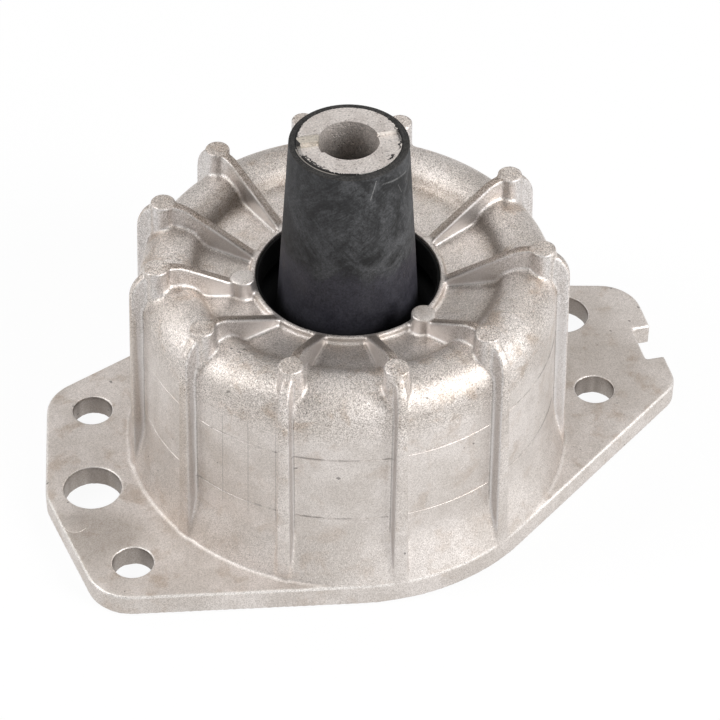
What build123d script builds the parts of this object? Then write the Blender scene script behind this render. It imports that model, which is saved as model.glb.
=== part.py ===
from build123d import *
import math
import os

# Flange plate
flange_thickness = 6.7
flange_edge_radius = 0.7
hub_step = 4.1
corner_radius = 13.0
bolt_hole_diameter = 11.0
locating_hole_diameter = 15.8

# Left end of the flange: two bolts with the locating hole between them
left_bolt_offset = 6.8
left_bolt_spacing = 61.0
left_centre_y = -7.0
left_locating_offset = 5.5

# Right end of the flange: one bolt, one large hole and the notched edge
right_hole_offset = 11.3
right_bolt_y = -1.1
right_hole_spacing = 33.2
end_edge_offset = 24.0
end_back_radius = 12.0
end_back_y = 30.3
end_front_radius = 8.0
end_front_y = -0.1
notch_width = 13.2
notch_depth = 5.5
notch_y = 14.4

# Bell, outside
wall_thickness = 4.5
draft_angle = 1.65
skirt_height = 20.5
skirt_inset = 0.3
skirt_blend = 25.0
crown_rise = 31.8
shoulder_radius = 8.5
crest_inner_radius = 7.0
crown_width = 17.4
step_foot_blend = 2.5
step_lean = 33.0
floor_slope = 11.4
opening_radius = 24.9
lip_drop = 5.7
lip_width = 1.5
lip_step = 1.9
lip_rounding = 0.5

# Bell, inside
insert_radius = 53.0
shoulder_width = 1.5
roof_thickness = 4.5
inner_rounding = 3.0

# Rubber rebound stop in the opening and under the roof
stop_thickness = 2.5
stop_collar = 0.8
stop_reach = 9.0
stop_drop = 0.9
stop_rounding = 0.4

# Ribs and ejector pads on the crown
rib_pitch = 30.0
rib_first_angle = 60.0
rib_count = 9
front_rib_angle = 18.0
rib_rise = 6.5
rib_stand = 3.5
rib_top_thickness = 2.7
rib_draft = 0.65
rib_climb = 30.8
rib_elbow_radius = 9.0
rib_corner_radius = 9.5
rib_edge_radius = 0.7
pad_radius = 3.4
pad_inset = 7.3
pad_proud = 0.2
pad_edge_radius = 0.3
inner_pad_radius = 3.3
inner_pad_inset = 3.9
inner_pad_rise = 4.4
inner_pad_count = 3

# Core
core_reach = 45.4
core_face_radius = 13.8
core_taper = 3.6
core_bore_radius = 8.0
core_bore_depth = 46.0
slot_width = 4.8
slot_depth = 1.1
slot_offset = 0.85
foot_radius = 30.0
rebound_travel = 4.9
foot_thickness = 6.0
foot_blend = 4.0
core_nose_radius = 13.0
core_nose_depth = 6.0

# Rubber spring
skin_thickness = 1.95
skin_recess = 0.3
buffer_thickness = 3.5
spring_wall = 9.0

# Stack of parts under the spring
ring_groove_height = 6.0
retainer_thickness = 2.0
retainer_width = 4.5
retainer_groove_depth = 1.8
retainer_gap_angle = 24.0
lug_radius = 3.6
lug_hole_radius = 1.3
lug_inset = 3.0
slip_clearance = 0.15
cup_sheet = 1.5
cup_floor_height = 1.5
cup_inset = 10.0
cup_bend = 3.0
vent_radius = 2.5
diaphragm_sheet = 2.0
diaphragm_rim_height = 4.0
diaphragm_bead_width = 3.3
diaphragm_ring_width = 2.5
diaphragm_fold_depth = 6.0
diaphragm_fold_width = 5.0
diaphragm_fold_inset = 20.0
diaphragm_bend = 2.2
lower_plate_thickness = 8.5
upper_plate_thickness = 3.5
track_inset = 12.0
track_width = 7.0
track_depth = 5.5
track_angle = 320.0
membrane_radius = 20.0
membrane_thickness = 2.6
membrane_play = 0.4
window_radius = 3.2
window_circle_radius = 12.0
window_count = 6
seal_section_radius = 1.5
seal_squeeze = 0.15
seal_groove_play = 0.4
spring_ring_height = 13.0
spring_ring_wall = 2.5

# Places worked out from the bore, the crown and the stack
wall_radius = insert_radius + wall_thickness
hub_radius = wall_radius + hub_step
left_bolt_x = -hub_radius - left_bolt_offset
right_hole_x = hub_radius + right_hole_offset
end_edge_x = right_hole_x + end_edge_offset
step_foot_radius = wall_radius - crown_width
inner_pad_circle_radius = opening_radius + inner_pad_inset
cup_radius = insert_radius - cup_inset
diaphragm_fold_circle = insert_radius - diaphragm_fold_inset
track_radius = insert_radius - track_inset
rim_level = ring_groove_height + retainer_thickness
diaphragm_level = rim_level + cup_sheet
lower_plate_level = diaphragm_level + diaphragm_rim_height
upper_plate_level = lower_plate_level + lower_plate_thickness
spring_level = upper_plate_level + upper_plate_thickness
ring_top_level = spring_level + spring_ring_height
crown_height = ring_top_level + crown_rise
lip_height = crown_height - lip_drop
rib_height = crown_height + rib_rise
inner_pad_height = lip_height + inner_pad_rise
core_height = lip_height + core_reach
draft = math.tan(math.radians(draft_angle))
taper = math.tan(math.radians(core_taper))
rib_reach = wall_radius - (rib_height - skirt_height) * draft + rib_stand
pad_circle_radius = rib_reach - pad_inset


def wall_at(level):
    """Outside radius of the drafted wall at a height."""
    return wall_radius - (level - skirt_height) * draft


def floor_at(radius):
    """Height of the sloping floor between the ribs."""
    rise = math.tan(math.radians(floor_slope))
    return lip_height - lip_step + (radius - opening_radius - lip_width) * rise


def roof_at(radius):
    """Height of the roof's underside."""
    return floor_at(radius) - roof_thickness


def foot_level():
    """Top of the core's foot: its rubber stays clear of the rebound stop by the travel."""
    return roof_at(opening_radius) - stop_thickness - rebound_travel - buffer_thickness


def core_side(level):
    """Radius of the metal cone at a height."""
    return core_face_radius + (core_height - level) * taper


def turned(points, radii):
    """Solid of revolution from an outline on the radius-height plane, with rounded corners."""
    outline = Polyline(*[(r, 0, z) for r, z in points], close=True)
    face = make_face(outline.edges())
    for (r, z), rounding in zip(points, radii):
        if rounding > 0:
            corner = face.vertices().sort_by_distance((r, 0, z))[0]
            face = fillet(corner, rounding)
    return revolve(face, Axis.Z)


def fitted(rounding, turn, *lengths):
    """The rounding of a corner, limited by the straight lengths beside it."""
    return min(rounding, 0.95 * min(lengths) / math.tan(math.radians(turn / 2)))


def hole_places():
    """Centres of the five flange holes: bolts first, then the large holes."""
    half = left_bolt_spacing / 2
    bolts = [
        (left_bolt_x, left_centre_y + half),
        (left_bolt_x, left_centre_y - half),
        (right_hole_x, right_bolt_y),
    ]
    large = [
        (left_bolt_x - left_locating_offset, left_centre_y),
        (right_hole_x, right_bolt_y + right_hole_spacing),
    ]
    return bolts, large


def flange_plate():
    """Flat plate whose edge is stretched round the hub and the corner circles."""
    bolts, large = hole_places()
    rounds = [((0, 0), hub_radius)]
    rounds += [(place, corner_radius) for place in (bolts[0], bolts[1], large[0])]
    rounds.append(((end_edge_x - end_back_radius, end_back_y), end_back_radius))
    rounds.append(((end_edge_x - end_front_radius, end_front_y), end_front_radius))
    edges = [Pos(*place) * Circle(radius).edge() for place, radius in rounds]
    outline = make_hull(edges)
    notch = Pos(end_edge_x, notch_y) * Rectangle(2 * notch_depth, notch_width)
    outline -= notch
    plate = extrude(outline, flange_thickness)
    return fillet(plate.edges().group_by(Axis.Z)[-1], flange_edge_radius)


def bell_outside():
    """The drafted bell as a filled turned shape, down to the flange's underside."""
    lean = math.tan(math.radians(step_lean))
    foot = floor_at(step_foot_radius)
    points = [
        (0, flange_thickness / 2),
        (hub_radius - skirt_inset, flange_thickness / 2),
        (hub_radius - skirt_inset, flange_thickness),
        (wall_radius, skirt_height),
        (wall_at(crown_height), crown_height),
        (step_foot_radius + (crown_height - foot) * lean, crown_height),
        (step_foot_radius, foot),
        (opening_radius + lip_width, floor_at(opening_radius + lip_width)),
        (opening_radius + lip_width, lip_height),
        (0, lip_height),
    ]
    slant = math.hypot(crown_height - foot, (crown_height - foot) * lean)
    slant -= step_foot_blend * math.tan(math.radians(90 - step_lean - floor_slope) / 2)
    flat = wall_at(crown_height) - step_foot_radius - (crown_height - foot) * lean
    flat -= shoulder_radius * math.tan(math.radians(90 - draft_angle) / 2)
    crest = fitted(crest_inner_radius, 90 - step_lean, slant, flat)
    radii = [0, 0, 0, skirt_blend, shoulder_radius, crest, step_foot_blend, lip_rounding, lip_rounding, 0]
    return turned(points, radii)


def rib():
    """One radial rib: it climbs from the lip, crosses the crown and runs down the wall."""
    rise = math.tan(math.radians(rib_climb))
    elbow = opening_radius + lip_width / 2 + (rib_height - lip_height) / rise
    outer_low = rib_reach + rib_height * draft
    corners = [
        (opening_radius + lip_width / 2, 0, 0),
        (opening_radius + lip_width / 2, 0, lip_height),
        (elbow, 0, rib_height),
        (rib_reach, 0, rib_height),
        (outer_low, 0, 0),
    ]
    face = make_face(Polyline(*corners, close=True).edges())
    ridge = rib_reach - elbow - rib_elbow_radius * math.tan(math.radians(rib_climb / 2))
    corner = fitted(rib_corner_radius, 90 - draft_angle, ridge)
    face = fillet(face.vertices().sort_by_distance((elbow, 0, rib_height))[0], rib_elbow_radius)
    face = fillet(face.vertices().sort_by_distance((rib_reach, 0, rib_height))[0], corner)
    side = extrude(face, rib_reach / 4, both=True, dir=(0, 1, 0))
    widening = 2 * rib_height * math.tan(math.radians(rib_draft))
    root = Pos(rib_reach / 2, 0, 0) * Rectangle(2 * rib_reach, rib_top_thickness + widening)
    blade = side & extrude(root, rib_height, taper=rib_draft)
    inner = blade.edges().filter_by_position(Axis.X, 0, opening_radius + lip_width)
    long_edges = blade.edges().filter_by(lambda e: abs(e.center().Y) > rib_top_thickness / 4) - inner
    low = long_edges.filter_by_position(Axis.Z, -1, rib_edge_radius)
    return fillet(long_edges - low, rib_edge_radius)


def pad(radius, circle_radius, height):
    """Round ejector pad on a drafted column that is buried in the crown."""
    spread = height * math.tan(math.radians(rib_draft))
    column = Cone(radius + spread, radius, height, align=(Align.CENTER, Align.CENTER, Align.MIN))
    column = fillet(column.edges().group_by(Axis.Z)[-1], pad_edge_radius)
    return Pos(circle_radius, 0, 0) * column


def bell_inside():
    """Bore for the hydraulic insert and the hollow that follows the crown."""
    wall = insert_radius - shoulder_width
    lean = math.tan(math.radians(step_lean))
    roof = crown_height - roof_thickness
    inner_foot = step_foot_radius + roof_thickness / 2
    points = [
        (0, 0),
        (insert_radius, 0),
        (insert_radius, ring_top_level),
        (wall, ring_top_level),
        (wall, roof),
        (inner_foot + (roof - roof_at(inner_foot)) * lean, roof),
        (inner_foot, roof_at(inner_foot)),
        (opening_radius, roof_at(opening_radius)),
        (0, roof_at(opening_radius)),
    ]
    radii = [0, 0, 0, 0, inner_rounding, inner_rounding / 2, inner_rounding / 2, 0, 0]
    hollow = turned(points, radii)
    opening = extrude(Circle(opening_radius), rib_height)
    groove = Pos(0, 0, ring_groove_height) * extrude(Circle(insert_radius + retainer_groove_depth), retainer_thickness)
    return hollow + opening + groove


def housing():
    """Die-cast bell, ribs, pads and flange in one piece."""
    body = flange_plate() + bell_outside()
    angles = [rib_first_angle + rib_pitch * i for i in range(rib_count)]
    angles += [front_rib_angle, -front_rib_angle]
    one_rib = rib() + pad(pad_radius, pad_circle_radius, rib_height + pad_proud)
    body += [Rot(0, 0, angle) * one_rib for angle in angles]
    inner = pad(inner_pad_radius, inner_pad_circle_radius, inner_pad_height)
    body += [Rot(0, 0, 180 + 360 / inner_pad_count * i) * inner for i in range(inner_pad_count)]
    bolts, large = hole_places()
    body -= [extrude(Pos(*place) * Circle(bolt_hole_diameter / 2), flange_thickness) for place in bolts]
    body -= [extrude(Pos(*place) * Circle(locating_hole_diameter / 2), flange_thickness) for place in large]
    return body - bell_inside()


def rebound_stop():
    """Rubber ring that lines the opening and cushions the roof's underside."""
    inner = opening_radius - stop_collar
    outer = opening_radius + stop_reach
    points = [
        (inner, lip_height - stop_drop),
        (opening_radius, lip_height - stop_drop),
        (opening_radius, roof_at(opening_radius)),
        (outer, roof_at(outer)),
        (outer, roof_at(outer) - stop_thickness),
        (inner, roof_at(inner) - stop_thickness),
    ]
    radii = [stop_rounding, 0, 0, 0, stop_rounding, stop_rounding]
    return turned(points, radii)


def core():
    """Cast cone with a blind bolt bore, a cross slot and a wide foot that the rubber holds."""
    foot_top = foot_level()
    foot_bottom = foot_top - foot_thickness
    points = [
        (0, foot_bottom - core_nose_depth),
        (core_nose_radius, foot_bottom - core_nose_depth),
        (foot_radius, foot_bottom),
        (foot_radius, foot_top),
        (core_side(foot_top), foot_top),
        (core_face_radius, core_height),
        (0, core_height),
    ]
    radii = [0, foot_blend, foot_thickness / 5, foot_thickness / 4, foot_blend, 0, 0]
    body = turned(points, radii)
    body -= Pos(0, 0, core_height - core_bore_depth) * extrude(Circle(core_bore_radius), core_bore_depth)
    slot = Box(2 * core_face_radius + slot_width, slot_width, 2 * slot_depth)
    return body - Pos(0, -slot_offset, core_height) * slot


def main_spring():
    """Rubber skin over the core, rebound buffer on its foot and the cone down to the ring."""
    foot_top = foot_level()
    foot_bottom = foot_top - foot_thickness
    skin_top = core_height - skin_recess
    buffer_top = foot_top + buffer_thickness
    buffer_radius = foot_radius + buffer_thickness
    ring_inside = insert_radius - spring_ring_wall
    points = [
        (0, foot_bottom - core_nose_depth - skin_thickness),
        (core_nose_radius, foot_bottom - core_nose_depth - skin_thickness),
        (ring_inside - spring_wall / 3, spring_level + skin_thickness),
        (ring_inside, spring_level + skin_thickness),
        (ring_inside, ring_top_level),
        (ring_inside - spring_wall / 2, ring_top_level),
        (buffer_radius, foot_bottom + skin_thickness),
        (buffer_radius, buffer_top),
        (core_side(buffer_top) + skin_thickness, buffer_top),
        (core_side(skin_top) + skin_thickness, skin_top),
        (0, skin_top),
    ]
    radii = [0, foot_blend, spring_wall / 3, 0, 0, 1, buffer_thickness, buffer_thickness, foot_blend, skin_recess, 0]
    body = turned(points, radii)
    above = Pos(0, 0, core_height - skin_recess) * extrude(Circle(core_face_radius), foot_thickness)
    bore = Pos(0, 0, core_height - core_bore_depth) * extrude(Circle(core_bore_radius), core_bore_depth)
    slot = Pos(0, -slot_offset, core_height) * Box(2 * core_face_radius, slot_width, 2 * slot_depth)
    return body - core() - above - bore - slot


def spring_ring():
    """Steel ring bonded round the foot of the rubber and pressed into the bell."""
    tube = extrude(Circle(insert_radius) - Circle(insert_radius - spring_ring_wall), spring_ring_height)
    return Pos(0, 0, spring_level) * tube


def windows(thickness):
    """Round windows that let the fluid reach the membrane."""
    hole = extrude(Circle(window_radius), thickness)
    holes = [hole]
    for i in range(window_count):
        holes.append(Rot(0, 0, 360 / window_count * i) * Pos(window_circle_radius, 0, 0) * hole)
    return holes


def upper_channel_plate():
    """Flat cover of the fluid track with its inlet and the membrane's upper windows."""
    body = extrude(Circle(insert_radius - slip_clearance), upper_plate_thickness)
    body -= windows(upper_plate_thickness)
    inlet = extrude(Circle(track_width / 2), upper_plate_thickness)
    body -= Rot(0, 0, track_angle / 2) * Pos(track_radius, 0, 0) * inlet
    return Pos(0, 0, upper_plate_level) * body


def track(depth):
    """Open ring-shaped channel that stops short of closing on itself."""
    ring = Circle(track_radius + track_width / 2) - Circle(track_radius - track_width / 2)
    whole = extrude(ring, depth)
    half = math.radians((360 - track_angle) / 2)
    reach = 2 * track_radius
    wedge = make_face(
        Polyline((0, 0), (-reach * math.cos(half), reach * math.sin(half)),
                 (-reach * math.cos(half), -reach * math.sin(half)), close=True).edges()
    )
    return whole - extrude(wedge, depth)


def seal_place():
    """Centre of the squeezed seal section: distance from the axis and height."""
    return insert_radius - seal_section_radius + seal_squeeze, lower_plate_level + lower_plate_thickness / 2


def lower_channel_plate():
    """Cast plate with the fluid track, the membrane's pocket and the seal's groove."""
    body = extrude(Circle(insert_radius - slip_clearance), lower_plate_thickness)
    pocket_depth = membrane_thickness + membrane_play
    body -= Pos(0, 0, lower_plate_thickness - track_depth) * track(track_depth)
    pocket = extrude(Circle(membrane_radius + membrane_play), pocket_depth)
    body -= Pos(0, 0, lower_plate_thickness - pocket_depth) * pocket
    body -= windows(lower_plate_thickness)
    outlet = extrude(Circle(track_width / 2), lower_plate_thickness)
    body -= Rot(0, 0, -track_angle / 2) * Pos(track_radius, 0, 0) * outlet
    body = Pos(0, 0, lower_plate_level) * body
    centre, level = seal_place()
    groove_floor = centre - seal_section_radius + seal_squeeze
    groove_height = 2 * (seal_section_radius + seal_groove_play)
    ring = Circle(insert_radius) - Circle(groove_floor)
    return body - Pos(0, 0, level - groove_height / 2) * extrude(ring, groove_height)


def seal_ring():
    """Round-section rubber ring squeezed between the groove's floor and the bore."""
    centre, level = seal_place()
    squeezed = Rectangle(2 * (seal_section_radius - seal_squeeze), 2 * seal_section_radius)
    section = Pos(centre, level) * (Circle(seal_section_radius) & squeezed)
    return revolve(Plane.XZ * section, Axis.Z)


def decoupler_membrane():
    """Loose rubber disc that lies in the pocket between the windows."""
    level = upper_plate_level - membrane_play - membrane_thickness
    return Pos(0, 0, level) * extrude(Circle(membrane_radius), membrane_thickness)


def diaphragm():
    """Folded rubber sheet with a thick rim that closes the lower fluid chamber."""
    flat = diaphragm_level + diaphragm_rim_height / 2
    bead_outer = insert_radius - slip_clearance - diaphragm_ring_width
    bead_inner = bead_outer - diaphragm_bead_width
    fold_inner = diaphragm_fold_circle - diaphragm_fold_width / 2
    fold_outer = diaphragm_fold_circle + diaphragm_fold_width / 2
    run = diaphragm_fold_depth / 2
    path = FilletPolyline(
        (0, flat),
        (fold_inner - run, flat),
        (fold_inner, flat - diaphragm_fold_depth),
        (fold_outer, flat - diaphragm_fold_depth),
        (fold_outer + run, flat),
        (bead_inner, flat),
        radius=diaphragm_bend,
    )
    bead = Pos((bead_inner + bead_outer) / 2, flat) * Rectangle(diaphragm_bead_width, diaphragm_rim_height)
    section = trace(path, diaphragm_sheet) + bead
    return revolve(Plane.XZ * section, Axis.Z)


def diaphragm_ring():
    """Steel spacer ring round the diaphragm's rim."""
    outer = insert_radius - slip_clearance
    tube = extrude(Circle(outer) - Circle(outer - diaphragm_ring_width), diaphragm_rim_height)
    return Pos(0, 0, diaphragm_level) * tube


def base_cup():
    """Pressed steel cup under the diaphragm: flat rim, bent wall and a vented floor."""
    path = FilletPolyline(
        (vent_radius, cup_floor_height + cup_sheet / 2),
        (cup_radius, cup_floor_height + cup_sheet / 2),
        (cup_radius, rim_level + cup_sheet / 2),
        (insert_radius - slip_clearance, rim_level + cup_sheet / 2),
        radius=cup_bend,
    )
    return revolve(Plane.XZ * trace(path, cup_sheet), Axis.Z)


def retaining_ring():
    """Open spring ring with two drilled lugs, sprung into the groove of the bore."""
    outer = insert_radius + retainer_groove_depth - slip_clearance
    inner = outer - retainer_width
    half = retainer_gap_angle / 2
    reach = 2 * outer
    side = reach * math.tan(math.radians(half))
    gap = make_face(Polyline((0, 0), (reach, -side), (reach, side), close=True).edges())
    band = Circle(outer) - Circle(inner) - gap
    for turn in (half, -half):
        place = Rot(0, 0, turn) * Pos(outer - retainer_width / 2 - lug_inset / 2, 0)
        band = band + place * Circle(lug_radius)
        band = band - place * Circle(lug_hole_radius)
    return Pos(0, 0, ring_groove_height) * extrude(band, retainer_thickness)


def main():
    os.makedirs("parts", exist_ok=True)
    nodes = {
        "housing": housing(),
        "rebound_stop": rebound_stop(),
        "core": core(),
        "main_spring": main_spring(),
        "spring_ring": spring_ring(),
        "upper_channel_plate": upper_channel_plate(),
        "lower_channel_plate": lower_channel_plate(),
        "seal_ring": seal_ring(),
        "decoupler_membrane": decoupler_membrane(),
        "diaphragm": diaphragm(),
        "diaphragm_ring": diaphragm_ring(),
        "base_cup": base_cup(),
        "retaining_ring": retaining_ring(),
    }
    for name, shape in nodes.items():
        export_step(shape, f"parts/{name}.step")


main()
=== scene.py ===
from math import cos, hypot, pi, radians, sin

import bpy
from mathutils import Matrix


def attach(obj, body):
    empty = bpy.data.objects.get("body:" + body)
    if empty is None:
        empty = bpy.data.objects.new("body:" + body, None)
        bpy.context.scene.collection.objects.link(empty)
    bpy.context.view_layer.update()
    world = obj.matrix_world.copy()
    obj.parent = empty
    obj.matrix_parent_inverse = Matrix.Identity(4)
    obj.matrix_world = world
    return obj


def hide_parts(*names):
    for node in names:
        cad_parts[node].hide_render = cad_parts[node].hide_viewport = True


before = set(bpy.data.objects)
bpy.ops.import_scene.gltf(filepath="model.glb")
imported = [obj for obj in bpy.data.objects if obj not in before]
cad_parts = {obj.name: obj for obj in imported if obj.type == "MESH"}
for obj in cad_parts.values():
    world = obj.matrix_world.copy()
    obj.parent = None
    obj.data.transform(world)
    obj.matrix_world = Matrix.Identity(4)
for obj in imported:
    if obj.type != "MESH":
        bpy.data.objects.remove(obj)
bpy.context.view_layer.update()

# Studio: the mount stands on a white table. The main soft box is low to the right in front, a
# second one fills from the left, and weaker ones stand behind. It is taken through a long lens.
camera_place = (-0.149065, -0.590772, 0.595569)
camera_turn = (radians(47.2602), radians(-0.5723), radians(-13.9712))
camera_lens = 149.95
lamp_distance = 1.3
lamp_aim = 0.05
table_size = 8
table_drop = 0.0004
white = (1, 1, 1, 1)

bpy.ops.object.camera_add(location=camera_place, rotation=camera_turn)
camera = bpy.context.object
camera.name = "camera"
camera.data.lens = camera_lens
camera.data.clip_start = 0.05
camera.data.clip_end = 20
bpy.context.scene.camera = camera
bpy.context.scene.view_settings.view_transform = "Standard"


def soft_box(name, azimuth, elevation, wide, high, watts):
    """Rectangular lamp that looks at the middle of the bell from a direction given in degrees."""
    a, e = radians(azimuth), radians(elevation)
    away = lamp_distance * cos(e)
    place = (away * cos(a), away * sin(a), lamp_aim + lamp_distance * sin(e))
    bpy.ops.object.light_add(type="AREA", location=place, rotation=(pi / 2 - e, 0, a + pi / 2))
    lamp = bpy.context.object
    lamp.name = name
    lamp.data.shape = "RECTANGLE"
    lamp.data.size = wide
    lamp.data.size_y = high
    lamp.data.energy = watts


soft_box("soft_box_right", -45, 26, 0.55, 0.85, 16.5)
soft_box("soft_box_left", 180, 36, 0.45, 0.95, 10.0)
soft_box("soft_box_back_right", 38, 50, 0.9, 0.9, 3.0)
soft_box("soft_box_back_left", 118, 48, 0.6, 0.5, 2.4)
soft_box("soft_box_front", -90, 12, 0.5, 0.4, 1.4)


class Wire:
    """A socket in a node tree. Sums on it add Math nodes, and node() adds any other node."""

    def __init__(self, socket):
        self.socket = socket

    def node(self, kind, settings=(), inputs=(), output=0):
        """Add a node, give it its settings, then its values and links, and hand back one output."""
        tree = self.socket.id_data
        made = tree.nodes.new("ShaderNode" + kind)
        for key, value in dict(settings).items():
            setattr(made, key, value)
        for key, value in dict(inputs).items():
            if isinstance(value, Wire):
                tree.links.new(value.socket, made.inputs[key])
            else:
                made.inputs[key].default_value = value
        return Wire(made.outputs[output])

    def sum(self, operation, other=0.0, swap=False):
        """A Math node of this value and another one, or of the two swapped."""
        ends = (other, self) if swap else (self, other)
        return self.node("Math", {"operation": operation}, {0: ends[0], 1: ends[1]})

    def __add__(self, other):
        return self.sum("ADD", other)

    def __radd__(self, other):
        return self.sum("ADD", other, True)

    def __sub__(self, other):
        return self.sum("SUBTRACT", other)

    def __rsub__(self, other):
        return self.sum("SUBTRACT", other, True)

    def __mul__(self, other):
        return self.sum("MULTIPLY", other)

    def __rmul__(self, other):
        return self.sum("MULTIPLY", other, True)

    def __truediv__(self, other):
        return self.sum("DIVIDE", other)

    def __pow__(self, other):
        return self.sum("POWER", other)

    def __abs__(self):
        return self.sum("ABSOLUTE")

    def ramp(self, low, high, start=0.0, end=1.0):
        """Smooth step of a value between two limits."""
        return self.node(
            "MapRange",
            {"interpolation_type": "SMOOTHSTEP"},
            {"Value": self, "From Min": low, "From Max": high, "To Min": start, "To Max": end},
        )

    def noise(self, scale, detail=2.0, rough=0.5, bend=0.0):
        """Noise pattern read at this vector, with grains about 1 / scale metres wide."""
        values = {"Scale": scale, "Detail": detail, "Roughness": rough, "Distortion": bend}
        return self.node("TexNoise", (), {"Vector": self, **values})

    def stretch(self, x, y, z):
        """This vector with its three parts scaled."""
        return self.node("VectorMath", {"operation": "MULTIPLY"}, {0: self, 1: (x, y, z)})

    def mix(self, low, high):
        """Colour between two colours, by this value."""
        return self.node("Mix", {"data_type": "RGBA"}, {"Factor": self, "A": low, "B": high}, 2)

    def times(self, value):
        """This colour made lighter or darker by a value."""
        settings = {"data_type": "RGBA", "blend_type": "MULTIPLY"}
        return self.node("Mix", settings, {"Factor": 1.0, "A": self, "B": value}, 2)

    def bump(self, distance):
        """Normal of a surface with this height."""
        return self.node("Bump", (), {"Strength": 1.0, "Distance": distance, "Height": self})

    def split(self):
        """The three parts of a vector."""
        return [self.node("SeparateXYZ", (), {0: self}, i) for i in range(3)]


def new_finish(name):
    """A material with its shader, and the wire of its object coordinates."""
    made = bpy.data.materials.new(name)
    made.use_nodes = True
    shader = made.node_tree.nodes["Principled BSDF"]
    coordinates = made.node_tree.nodes.new("ShaderNodeTexCoord")
    return made, shader, Wire(coordinates.outputs["Object"])


def feed(shader, **wires):
    """Link wires, or set values, on a shader's sockets."""
    for key, value in wires.items():
        target = shader.inputs[key.replace("_", " ")]
        if isinstance(value, Wire):
            shader.id_data.links.new(value.socket, target)
        else:
            target.default_value = value


world = bpy.data.worlds.new("studio")
world.use_nodes = True
bpy.context.scene.world = world
sky = world.node_tree.nodes["Background"]
rays = world.node_tree.nodes.new("ShaderNodeLightPath")
shown = Wire(rays.outputs["Is Camera Ray"]) + Wire(rays.outputs["Is Glossy Ray"]) * 0.25
feed(sky, Color=white, Strength=shown.ramp(0.0, 1.0, 0.27, 1.0))

bpy.ops.mesh.primitive_plane_add(size=table_size, location=(0, 0, -table_drop))
table = bpy.context.object
table.name = "table"
table_finish, table_shader, place = new_finish("white_table")
feed(table_shader, Base_Color=(0.86, 0.86, 0.86, 1), Roughness=0.9)
tree = table_finish.node_tree
glow = tree.nodes.new("ShaderNodeEmission")
glow.inputs["Color"].default_value = white
rays = tree.nodes.new("ShaderNodeLightPath")
blend = tree.nodes.new("ShaderNodeMixShader")
shown = Wire(rays.outputs["Is Camera Ray"]) * 0.93 + Wire(rays.outputs["Is Glossy Ray"])
tree.links.new(shown.socket, blend.inputs[0])
tree.links.new(table_shader.outputs[0], blend.inputs[1])
tree.links.new(glow.outputs[0], blend.inputs[2])
tree.links.new(blend.outputs[0], tree.nodes["Material Output"].inputs["Surface"])
table.data.materials.append(table_finish)

# Housing: the bell, its ribs, pads and flange are one aluminium die casting. It is trimmed and
# shot-blasted, which leaves a bright grain on the open faces and less of it deep between the ribs,
# and the parts of the die have left fine lines round the wall.
casting_voxel = 0.0004
casting_fillet = 0.0003
casting_triangles = 190000
wall_radius = 0.0575
wall_foot = 0.0205
wall_draft = 0.0288
die_lines = (0.0490, 0.0282)
die_cracks = (-139, -131, -123)
bead_thickness = 0.00020
bead_sink = 0.00008
mark_radius = 0.0033
mark_place = (-0.0809, -0.0198, 0.00655)
rib_pitch = 30
end_rib_angle = 18
rib_half_width = 0.00178
rib_draft = 0.01135
rib_top_level = 0.0768
inner_pads = ((-0.0288, 0.0), (0.0144, -0.02494), (0.0144, 0.02494))
bolt_holes = ((-0.0684, 0.0235), (-0.0684, -0.0375), (0.0729, -0.0011))
bolt_hole_radius = 0.0055
locating_holes = ((-0.0739, -0.0070), (0.0729, 0.0321))
locating_hole_radius = 0.0079


def pick(*pieces):
    """Select these pieces alone, the first of them active."""
    bpy.ops.object.select_all(action="DESELECT")
    for piece in pieces:
        piece.select_set(True)
    bpy.context.view_layer.objects.active = pieces[0]


def worked_copy(name, node):
    """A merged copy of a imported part's mesh, ready to be worked on."""
    copy = bpy.data.objects.new(name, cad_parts[node].data.copy())
    bpy.context.scene.collection.objects.link(copy)
    pick(copy)
    bpy.ops.object.mode_set(mode="EDIT")
    bpy.ops.mesh.select_all(action="SELECT")
    bpy.ops.mesh.remove_doubles(threshold=0.000001)
    bpy.ops.object.mode_set(mode="OBJECT")
    return copy


def work(piece, kind, **settings):
    """Add one modifier to a piece and apply it."""
    step = piece.modifiers.new("step", kind)
    for key, value in settings.items():
        setattr(step, key, value)
    pick(piece)
    bpy.ops.object.modifier_apply(modifier=step.name)


def settle(piece):
    """Put a piece's origin at the scene's, with its place kept in its mesh."""
    pick(piece)
    bpy.ops.object.transform_apply(location=True, rotation=True, scale=True)


def dress(piece, finish, node):
    """Give a piece its material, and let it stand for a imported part."""
    piece.data.materials.clear()
    piece.data.materials.append(finish)
    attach(piece, "root")
    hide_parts(node)


casting = worked_copy("casting", "housing")
work(casting, "REMESH", mode="VOXEL", voxel_size=casting_voxel)
work(casting, "DISPLACE", strength=casting_fillet, mid_level=0)
work(casting, "REMESH", mode="VOXEL", voxel_size=casting_voxel)
work(casting, "DISPLACE", strength=-casting_fillet, mid_level=0)
work(casting, "SMOOTH", factor=0.5, iterations=1)
work(casting, "DECIMATE", ratio=casting_triangles / (2 * len(casting.data.polygons)))
marks = []
for level in die_lines:
    bpy.ops.mesh.primitive_torus_add(
        location=(0, 0, level),
        major_radius=wall_radius - (level - wall_foot) * wall_draft - bead_sink,
        minor_radius=bead_thickness,
        major_segments=288,
        minor_segments=8,
    )
    marks.append(bpy.context.object)
bpy.ops.mesh.primitive_cylinder_add(
    vertices=64, radius=mark_radius, depth=0.0006, location=mark_place
)
work(bpy.context.object, "BEVEL", width=0.0001, segments=2)
marks.append(bpy.context.object)
for mark in marks:
    settle(mark)
pick(casting, *marks)
bpy.ops.object.join()
bpy.ops.object.shade_smooth()


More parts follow.
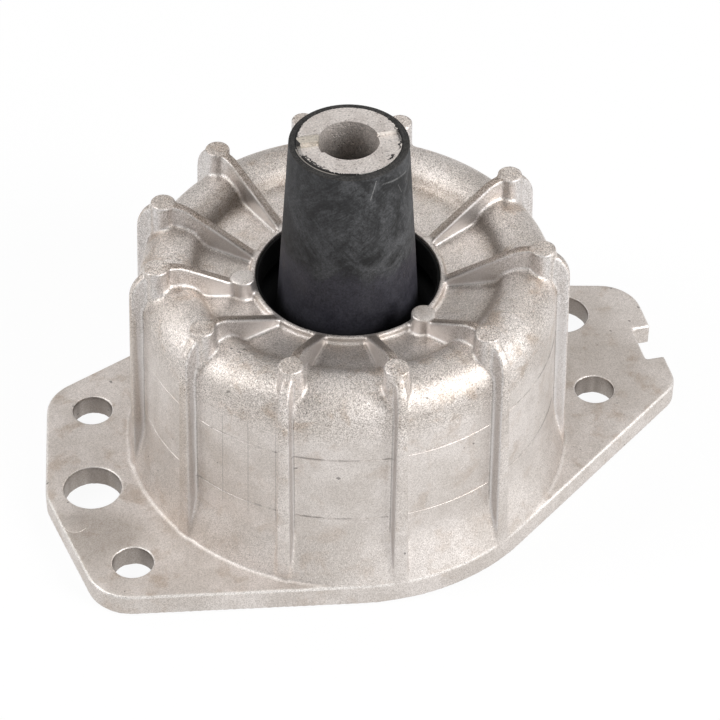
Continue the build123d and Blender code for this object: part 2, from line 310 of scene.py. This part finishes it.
def round_axis(place):
    """Three parts of a place, its distance from the mount's axis and its angle in degrees."""
    across, along, up = place.split()
    radius = (across * across + along * along) ** 0.5
    turn = along.sum("ARCTAN2", across) * (180 / pi)
    return across, along, up, radius, turn


cast_finish, cast_shader, place = new_finish("blasted_casting")
across, along, up, radius, turn = round_axis(place)
face_x, face_y, face_z = place.node("NewGeometry", (), (), 1).split()


def near(x, y, full, none):
    """Mask of the space round an upright line, full up to one distance and gone at another."""
    x_off, y_off = across - x, along - y
    return ((x_off * x_off + y_off * y_off) ** 0.5).ramp(none, full)


# Regions of the casting: ribs, their tops and sides, the crown, the flange and the holes
upward = face_z.ramp(0.55, 0.9)
even_ribs = abs(turn).ramp(38.9, 39.1)
rib_angle = (turn / rib_pitch).sum("PINGPONG", 0.5) * rib_pitch * even_ribs
rib_angle = rib_angle + abs(abs(turn) - end_rib_angle) * (1 - even_ribs)
from_rib = rib_angle * radius * (pi / 180)
on_rib = from_rib.ramp(0.0019, 0.0013)
sideways = abs((across * face_y - along * face_x) / (radius + 0.0001))
rib_side = sideways.ramp(0.55, 0.9) * up.ramp(0.010, 0.014)
rib_top = on_rib * upward * radius.ramp(0.0262, 0.0272)
rib_top = rib_top * up.ramp(0.060, 0.063) * up.ramp(0.0770, rib_top_level)
for x, y in inner_pads:
    rib_top = rib_top * (1 - near(x, y, 0.0033, 0.0038))
rib_back = radius.ramp(0.0582, 0.0590) * up.ramp(0.020, 0.026)
tan_face = rib_back * abs(turn - 13).ramp(158, 164) * up.ramp(0.066, 0.060)
# Painted shade in the hollow at the foot of the crown's step, between the ribs
hollow_shade = up.ramp(0.0700, 0.0670) * radius.ramp(0.0360, 0.0400) * radius.ramp(0.0436, 0.0412)
hollow_shade = hollow_shade * (1 - on_rib) * up.ramp(0.058, 0.060)
# Partly brown dust, partly painted shade in the crown's step at the back left
step_dust_and_shade = radius.ramp(0.0375, 0.0405) * radius.ramp(0.0480, 0.0445)
step_dust_and_shade = step_dust_and_shade * abs(turn - 135).ramp(20, 8) * up.ramp(0.062, 0.066)
roof = upward * up.ramp(0.058, 0.060) * radius.ramp(0.0420, 0.0395) * (1 - on_rib)
shoulder = up.ramp(0.052, 0.061) * radius.ramp(0.036, 0.043)
proud = up.ramp(rib_top_level, 0.0771) * upward
seat = face_z.ramp(-0.90, -0.97) * up.ramp(0.0008, 0.0004)
flange_top = upward * up.ramp(0.0076, 0.0070)
rim_corner = face_z.ramp(0.1, 0.35) * (1 - face_z.ramp(0.9, 0.98)) * up.ramp(0.0069, 0.0066)
skirt = up.ramp(0.024, 0.016) * (1 - flange_top)
on_wall = radius.ramp(0.0560, 0.0563) * radius.ramp(0.0582, 0.0578)
in_hole = 0.0
for holes, hole_radius in ((bolt_holes, bolt_hole_radius), (locating_holes, locating_hole_radius)):
    for x, y in holes:
        in_hole = near(x, y, hole_radius + 0.0001, hole_radius + 0.0004) + in_hole
in_hole = in_hole * up.ramp(0.0067, 0.0063) * (1 - upward)

# Patterns of the casting, from the coarsest to the finest
cloud = place.noise(62, 3.0, 0.6)
patch = place.noise(135, 4.0, 0.66, 0.4)
streak = place.stretch(1, 1, 0.03).noise(150, 2.0, 0.6)
lump = place.noise(420, 2.0, 0.6)
pits = place.noise(520, 1.0, 0.5).ramp(0.765, 0.79) * (1 - rib_side)
mill = place.stretch(1, 0.03, 1).noise(1100, 2.0, 0.7)
grain = place.noise(2750, 1.0, 0.6)
sand = place.node("TexVoronoi", (), {"Vector": place, "Scale": 4200}, 1) + 0.0
fine_grain = place.noise(5400, 1.0, 0.6)
stain = near(-0.079, -0.024, 0.003, 0.019) + near(-0.066, -0.027, 0.002, 0.014) * 0.5
stain = stain + near(0.073, 0.008, 0.005, 0.026) * 0.6
stain = (stain * flange_top * (0.4 + patch)).ramp(0.0, 1.0)

# Fine dark lines that the parts of the die left on the wall, and painted shade along the ribs' feet
dark_seam = 0.0
bright_panel = turn.ramp(-91, -89) * turn.ramp(-59, -61) + turn.ramp(-149, -151)
for level in die_lines:
    line = abs(up - (level + 0.0003)).ramp(0.00035, 0.0001)
    dark_seam = line * patch.ramp(0.40, 0.56) + dark_seam
dark_seam = dark_seam * (1 - bright_panel)
for angle in die_cracks:
    line = abs(turn - angle).ramp(0.2, 0.07) * up.ramp(0.022, 0.027) * up.ramp(0.058, 0.054)
    dark_seam = line * 0.7 + dark_seam
dark_seam = dark_seam * on_wall * (0.45 + grain)
# Painted shade along the crease at the ribs' feet, where their sides meet the wall
rib_foot_shade = abs(from_rib - (rib_top_level - up) * rib_draft - rib_half_width)
rib_foot_shade = rib_foot_shade.ramp(0.00022, 0.00008) * up.ramp(0.021, 0.025) * up.ramp(0.067, 0.063)
rib_foot_shade = rib_foot_shade * (0.35 + patch * 0.6)

# How deep the blast has bitten, and the colour, height and roughness that come of it
bite = 0.27 + shoulder * 0.42 + proud * 0.12 + rib_top * 0.45 + rib_back * 0.12 + skirt * 0.08
bite = bite - rib_side * 0.14 - flange_top * 0.03 - seat * 0.20 + roof * 0.25
dusty = 0.35 + flange_top * 0.25 + shoulder * 0.35
tone = cloud.ramp(0.36, 0.64).mix((0.590, 0.544, 0.508, 1), (0.690, 0.645, 0.614, 1))
tone = (patch.ramp(0.50, 0.70) * dusty).mix(tone, (0.46, 0.375, 0.308, 1))
tone = (stain * 0.62).mix(tone, (0.36, 0.318, 0.280, 1))
tone = (rib_side * 0.8).mix(tone, (0.635, 0.612, 0.602, 1))
# Lighter grainy line on the flange's rounded top edge: partly wear, partly painted highlight
tone = (rim_corner * (0.1 + grain * 0.9)).mix(tone, (0.88, 0.85, 0.82, 1))
tone = (tan_face * 0.5).mix(tone, (0.47, 0.405, 0.345, 1))
# Painted shade in the hollow at the step's foot; brown dust with painted shade in the step at the back
# left
tone = (hollow_shade * 0.5).mix(tone, (0.31, 0.262, 0.220, 1))
tone = (step_dust_and_shade * 0.5).mix(tone, (0.27, 0.222, 0.182, 1))
tone = (proud * 0.2).mix(tone, (0.40, 0.340, 0.290, 1))
tone = (seat * 0.6).mix(tone, (0.66, 0.64, 0.62, 1))
tone = (rib_top * 0.7).mix(tone, (0.30, 0.245, 0.205, 1))
# Painted shade on the walls of the holes, darker and streaked
hole_shade_tone = streak.ramp(0.38, 0.62).mix((0.16, 0.136, 0.118, 1), (0.30, 0.266, 0.238, 1))
tone = (in_hole * 0.8).mix(tone, hole_shade_tone)
coarse = (grain * 0.6 + sand * 0.4).ramp(0.56, 0.30) * bite
fleck = 1.02 + (sand - 0.5) * (bite * 1.2) + (grain - 0.5) * (bite * 1.1)
fleck = fleck + (fine_grain - 0.5) * (bite * 1.4)
fleck = fleck * (1 - pits * 0.5) * (1 - dark_seam * 0.34) * (1 - rib_foot_shade * 0.5)
tone = (coarse * 0.45).mix(tone, (0.40, 0.31, 0.24, 1)).times(fleck)
height = (grain * 0.75 + sand * 0.35 + fine_grain * 0.6) * bite + lump * 0.12
height = height - pits * 0.5 + mill * seat * 0.2
rough = 0.44 + cloud * 0.10 - rib_side * 0.04 - rim_corner * 0.06
rough = rough + flange_top * 0.16 + proud * 0.2 - seat * 0.1
feed(cast_shader, Base_Color=tone, Metallic=1.0, Roughness=rough, Normal=height.bump(0.00016))
dress(casting, cast_finish, "housing")

# Rebound stop: a ring of black rubber moulded into the casting, from the lip of its opening to
# the underside of its roof. It lies in the dark and is dull.
stop_finish, stop_shader, place = new_finish("stop_rubber")
grain = place.noise(1300, 3.0, 0.6)
dust = place.noise(240, 3.0, 0.6)
tone = dust.ramp(0.4, 0.7).mix((0.006, 0.006, 0.006, 1), (0.013, 0.013, 0.013, 1))
feed(stop_shader, Base_Color=tone, Roughness=0.8 + grain * 0.15, Normal=grain.bump(0.00008))
stop_shader.inputs["Specular IOR Level"].default_value = 0.2


def coat(finish, *nodes):
    """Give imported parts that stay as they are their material."""
    for node in nodes:
        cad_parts[node].data.materials.clear()
        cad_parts[node].data.materials.append(finish)


coat(stop_finish, "rebound_stop")

# Core: an aluminium casting too, with its edges just broken. Only its face, its slot and its bore
# are bare, and torn rubber is left round the face and over the ends of the slot.
def broken_edges(name, node, width):
    """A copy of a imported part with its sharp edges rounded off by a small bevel."""
    copy = worked_copy(name, node)
    work(copy, "DECIMATE", decimate_type="DISSOLVE", angle_limit=radians(0.8))
    work(copy, "BEVEL", width=width, segments=2, limit_method="ANGLE", angle_limit=radians(40))
    bpy.ops.object.shade_smooth_by_angle(angle=radians(50))
    work(copy, "WEIGHTED_NORMAL", keep_sharp=True)
    return copy


core_edge = 0.00016
core_face_level = 0.1100
core_bore_radius = 0.0080

cone = broken_edges("core_casting", "core", core_edge)
core_finish, core_shader, place = new_finish("core_face")
across, along, up, radius, turn = round_axis(place)
face_y = place.node("NewGeometry", (), (), 1).split()[1]

# Rubber that was left round the face, in flaps and in torn lines
on_face = up.ramp(core_face_level - 0.0015, core_face_level - 0.0005)
ragged = place.noise(900, 3.0, 0.65)
torn = abs(abs(turn) - 176).ramp(11, 4) * 0.0009 + abs(turn + 6).ramp(16, 8) * 0.0006
torn = torn + abs(turn + 150).ramp(24, 18) * 0.0003
torn = torn - abs(turn + 55).ramp(48, 32) * 0.0005 - abs(turn - 80).ramp(62, 42) * 0.0004
flap = (radius + torn + (ragged - 0.5) * 0.0018).ramp(0.01352, 0.01362)
wavy = radius + (place.noise(420, 3.0, 0.7) - 0.5) * 0.0030
tear = abs(wavy - 0.01318).ramp(0.00026, 0.00010) * abs(turn + 9).ramp(23, 18)
tear = tear + abs(wavy - 0.01290).ramp(0.00030, 0.00012) * abs(turn + 46).ramp(8, 6)
tear = tear + abs(wavy - 0.01300).ramp(0.00026, 0.00010) * abs(turn + 150).ramp(20, 14)
rubbed = (flap * on_face + tear * on_face).sum("MINIMUM", 1.0)

# Bare metal of the face, painted light on the slot's wall and floor, and painted shade in the bore that
# darkens it with depth
grain = place.noise(1700, 2.0, 0.6)
fine_grain = place.noise(3200, 1.0, 0.6)
cloud = place.noise(230, 3.0, 0.6)
pits = place.noise(1150, 2.0, 0.6)
scar = across.ramp(-0.0065, -0.0075) * along.ramp(0.0004, 0.0012) * along.ramp(0.0048, 0.0040)
in_bore = radius.ramp(core_bore_radius + 0.0003, core_bore_radius + 0.0001)
out_of_bore = radius.ramp(core_bore_radius + 0.0001, core_bore_radius + 0.0003)
# Painted shade in the bore, darker with depth
deep = up.ramp(0.1096, 0.0860)
# Painted highlight on the slot's wall, brighter towards its right end
slot_wall_highlight = face_y.ramp(-0.5, -0.9) * out_of_bore * up.ramp(core_face_level, 0.1098)
slot_wall_highlight = slot_wall_highlight * across.ramp(-0.0085, 0.002, 0.25, 1.0)
# Painted light on the slot's floor, against the shadow of its walls
slot_floor_light = up.ramp(0.1093, 0.1090) * up.ramp(0.1085, 0.1088) * out_of_bore
tone = cloud.ramp(0.35, 0.65).mix((0.60, 0.552, 0.52, 1), (0.69, 0.644, 0.612, 1))
tone = (scar * 0.7).mix(tone, (0.56, 0.51, 0.43, 1))
tone = tone.times(1 + (grain - 0.5) * 0.9 + (fine_grain - 0.5) * 0.7)
# Painted light on the slot's floor and a painted highlight on its wall
tone = (slot_floor_light * 0.3).mix(tone, (0.68, 0.65, 0.63, 1))
tone = (slot_wall_highlight * 0.9).mix(tone, (0.93, 0.90, 0.86, 1))
tone = (pits.ramp(0.60, 0.70) * 0.6).mix(tone, (0.16, 0.14, 0.13, 1))
tone = (deep * in_bore * 0.6).mix(tone, (0.05, 0.048, 0.045, 1))
tone = rubbed.mix(tone, (0.018, 0.016, 0.015, 1))
height = grain + fine_grain * 0.5 - pits.ramp(0.58, 0.72) * 0.8 + rubbed * 1.5
height = height + scar * place.noise(700, 2.0) * 3
rough = 0.60 + rubbed * 0.2
feed(core_shader, Base_Color=tone, Metallic=1 - rubbed, Roughness=rough, Normal=height.bump(0.00014))
dress(cone, core_finish, "core")

# Main spring: natural rubber moulded over the core. Its skin has the grey, cloudy bloom of waxes
# that come to the surface, is scratched near the top, and is smoother and bluer low down.
skin_edge = 0.00035
cone_radius = 0.0158
outer_lip = (0.01497, 0.10952, 0.00030)
inner_lip = (0.01415, 0.10960, 0.00016)

skin = broken_edges("rubber_skin", "main_spring", skin_edge)
lips = []
for ring_radius, level, thickness in (outer_lip, inner_lip):
    bpy.ops.mesh.primitive_torus_add(
        location=(0, 0, level),
        major_radius=ring_radius,
        minor_radius=thickness,
        major_segments=144,
        minor_segments=10,
    )
    lips.append(bpy.context.object)
pick(lips[1])
bpy.ops.object.mode_set(mode="EDIT")
bpy.ops.mesh.select_all(action="DESELECT")
bpy.ops.object.mode_set(mode="OBJECT")
for face in lips[1].data.polygons:
    face.select = face.center.x + 0.45 * face.center.y > -0.0062
bpy.ops.object.mode_set(mode="EDIT")
bpy.ops.mesh.delete(type="FACE")
bpy.ops.mesh.select_all(action="SELECT")
bpy.ops.mesh.fill_holes(sides=10)
bpy.ops.object.mode_set(mode="OBJECT")
for lip in lips:
    settle(lip)
    bpy.ops.object.shade_smooth()
pick(skin, *lips)
bpy.ops.object.join()

skin_finish, skin_shader, place = new_finish("bloomed_rubber")
across, _, up, radius, turn = round_axis(place)
bloom = place.stretch(1, 1, 0.8).noise(80, 5.0, 0.66, 0.9)
wisp = place.noise(260, 5.0, 0.72, 1.2)
grain = place.noise(1700, 3.0, 0.7)


def strokes(lean, scale):
    """Fine scratches that all lean one way on the cone."""
    a = radians(lean)
    u = turn * (pi / 180 * cone_radius)
    run = u * cos(a) + up * sin(a)
    off = up * cos(a) - u * sin(a)
    return run.node("CombineXYZ", (), {0: run * 0.12, 1: off, 2: bloom * 0.004}).noise(scale, 3.0, 0.7)


def scratch(start, end, wide):
    """Mask of a straight scratch between two points, each its angle in degrees and its height."""
    dx = radians(end[0] - start[0]) * cone_radius
    dz = end[1] - start[1]
    length = hypot(dx, dz)
    u = (turn - start[0]) * (pi / 180 * cone_radius)
    v = up - start[1]
    run = (u * dx + v * dz) / length**2
    off = abs(u * dz - v * dx) / length
    return off.ramp(wide, wide * 0.3) * run.ramp(-0.02, 0.03) * run.ramp(1.02, 0.95)


rubbed_part = place.noise(95, 2.0, 0.5).ramp(0.42, 0.58)
hair = strokes(38, 1500) * rubbed_part + strokes(-52, 1300) * (1 - rubbed_part)
low = (up + (bloom - 0.5) * 0.02).ramp(0.0800, 0.0745)
# Painted shade: the skin deep down in the bell goes near black
deep = up.ramp(0.0610, 0.0560)
rim = up.ramp(0.10915, 0.10935)
cover = (bloom * 0.66 + wisp * 0.24 + hair * 0.10).ramp(0.41, 0.61)
tone = cover.mix((0.0090, 0.0094, 0.0102, 1), (0.058, 0.059, 0.062, 1))
# Painted shade: the skin darker towards its left side
tone = (across.ramp(0.002, -0.012) * 0.4).mix(tone, (0.016, 0.016, 0.018, 1))
tone = (low * 0.85).mix(tone, (0.029, 0.028, 0.037, 1))
tone = tone.times(1 + (grain - 0.5) * 2.0 + (wisp - 0.5) * 0.9 + (hair - 0.5) * (1.2 - low))
scratches = scratch((-77.5, 0.1082), (-83.8, 0.1024), 0.00022)
scratches = scratches + scratch((-36.0, 0.1049), (-72.0, 0.1064), 0.00036) * 0.7
scratches = scratches + scratch((-40.0, 0.1016), (-27.0, 0.1056), 0.00020) * 0.6
scratches = scratches + scratch((-52.0, 0.1036), (-47.0, 0.1002), 0.00018) * 0.5
tone = (scratches * wisp.ramp(0.36, 0.5) * 0.8).mix(tone, (0.17, 0.17, 0.17, 1))

# Rim round the core's face: nearly black and cracked, with a painted highlight on the lip at the lower
# left, and painted shade on the skin deep in the bell
crack = abs(radius - 0.01392).ramp(0.00028, 0.00010)
crack = crack + abs(radius - 0.01447).ramp(0.00022, 0.00008) * turn.ramp(-112, -120)
# Painted highlight on the inner lip at the lower left
lip_highlight = abs(radius - inner_lip[0]).ramp(0.00026, 0.00014) * turn.ramp(-112, -122) * rim
rim_tone = grain.ramp(0.4, 0.7).mix((0.010, 0.009, 0.008, 1), (0.045, 0.041, 0.037, 1))
tone = (rim * 0.8).mix(tone, rim_tone)
tone = (rim * crack * 0.95).mix(tone, (0.003, 0.003, 0.003, 1))
tone = (lip_highlight * 0.9).mix(tone, (0.22, 0.20, 0.18, 1))
# Painted shade on the skin deep in the bell
tone = (deep * 0.9).mix(tone, (0.002, 0.002, 0.002, 1))
rough = 0.60 - low * 0.10 + cover * 0.12 + deep * 0.25
height = grain * (1 - low * 0.6) + wisp
feed(skin_shader, Base_Color=tone, Roughness=rough, Normal=height.bump(0.00009))
skin_shader.inputs["Specular IOR Level"].default_value = 0.35
dress(skin, skin_finish, "main_spring")

# Spring ring and diaphragm ring: steel tube turned to size and pressed into the bell. The tool
# leaves fine rings on every face.
def bare_metal(name, light, dark, rough, ring_pitch):
    """Metal with fine rings from turning or drawing, clouded by handling and age."""
    finish, shader, place = new_finish(name)
    up, radius = round_axis(place)[2:4]
    rings = place.node("CombineXYZ", (), {0: radius / ring_pitch, 1: up / ring_pitch})
    rings = rings.noise(1.0, 2.0, 0.7)
    cloud = place.noise(90, 4.0, 0.6)
    grain = place.noise(1800, 2.0, 0.6)
    tone = cloud.ramp(0.36, 0.66).mix(light, dark)
    tone = tone.times(1 + (rings - 0.5) * 0.3 + (grain - 0.5) * 0.2)
    worn = rough + cloud * 0.2
    normal = (rings + grain * 0.4).bump(0.00004)
    feed(shader, Base_Color=tone, Metallic=1.0, Roughness=worn, Normal=normal)
    return finish


turned_light = (0.52, 0.51, 0.49, 1)
turned_dark = (0.36, 0.34, 0.31, 1)
coat(bare_metal("turned_steel", turned_light, turned_dark, 0.26, 0.00025), "spring_ring", "diaphragm_ring")

# Channel plates: aluminium castings whose faces are turned flat, so that they seal on each other.
# One covers the fluid track that is cut in the other.
plate_light = (0.66, 0.655, 0.65, 1)
plate_dark = (0.52, 0.51, 0.50, 1)
plate_finish = bare_metal("turned_plate", plate_light, plate_dark, 0.24, 0.0004)
coat(plate_finish, "upper_channel_plate", "lower_channel_plate")

# Seal, membrane and diaphragm: moulded rubber, black and slightly shiny, with a faint bloom. They
# are held between the plates, the steel ring and the cup.
seal_finish, seal_shader, place = new_finish("moulded_rubber")
grain = place.noise(1400, 3.0, 0.6)
bloom = place.noise(130, 4.0, 0.65, 0.5)
tone = bloom.ramp(0.42, 0.7).mix((0.016, 0.016, 0.017, 1), (0.045, 0.045, 0.046, 1))
tone = tone.times(1 + (grain - 0.5) * 0.8)
feed(seal_shader, Base_Color=tone, Roughness=0.42 + bloom * 0.25, Normal=grain.bump(0.00006))
coat(seal_finish, "seal_ring", "decoupler_membrane", "diaphragm")

# Base cup: a steel sheet pressed to a cup and zinc plated, with drawing lines on its wall and a
# dull, clouded shine. The vent hole is punched.
cup_edge = 0.0002
cup_light = (0.60, 0.59, 0.56, 1)
cup_dark = (0.43, 0.425, 0.41, 1)
cup = broken_edges("pressed_cup", "base_cup", cup_edge)
dress(cup, bare_metal("plated_sheet", cup_light, cup_dark, 0.30, 0.0012), "base_cup")

# Retaining ring: spring steel, blanked, drilled for the pliers and phosphated dark. It is sprung
# into the groove of the bell and keeps the cup from falling out.
clip_edge = 0.0002
clip = broken_edges("spring_clip", "retaining_ring", clip_edge)
clip_finish, clip_shader, place = new_finish("phosphated_steel")
grain = place.noise(1500, 3.0, 0.65)
cloud = place.noise(110, 4.0, 0.6)
worn = place.noise(340, 3.0, 0.7).ramp(0.58, 0.70)
tone = cloud.ramp(0.38, 0.66).mix((0.060, 0.060, 0.063, 1), (0.11, 0.105, 0.10, 1))
tone = tone.times(1 + (grain - 0.5) * 0.9)
tone = (worn * 0.5).mix(tone, (0.26, 0.25, 0.24, 1))
rough = 0.50 + grain * 0.15 - worn * 0.12
feed(clip_shader, Base_Color=tone, Metallic=0.9, Roughness=rough, Normal=grain.bump(0.00008))
dress(clip, clip_finish, "retaining_ring")
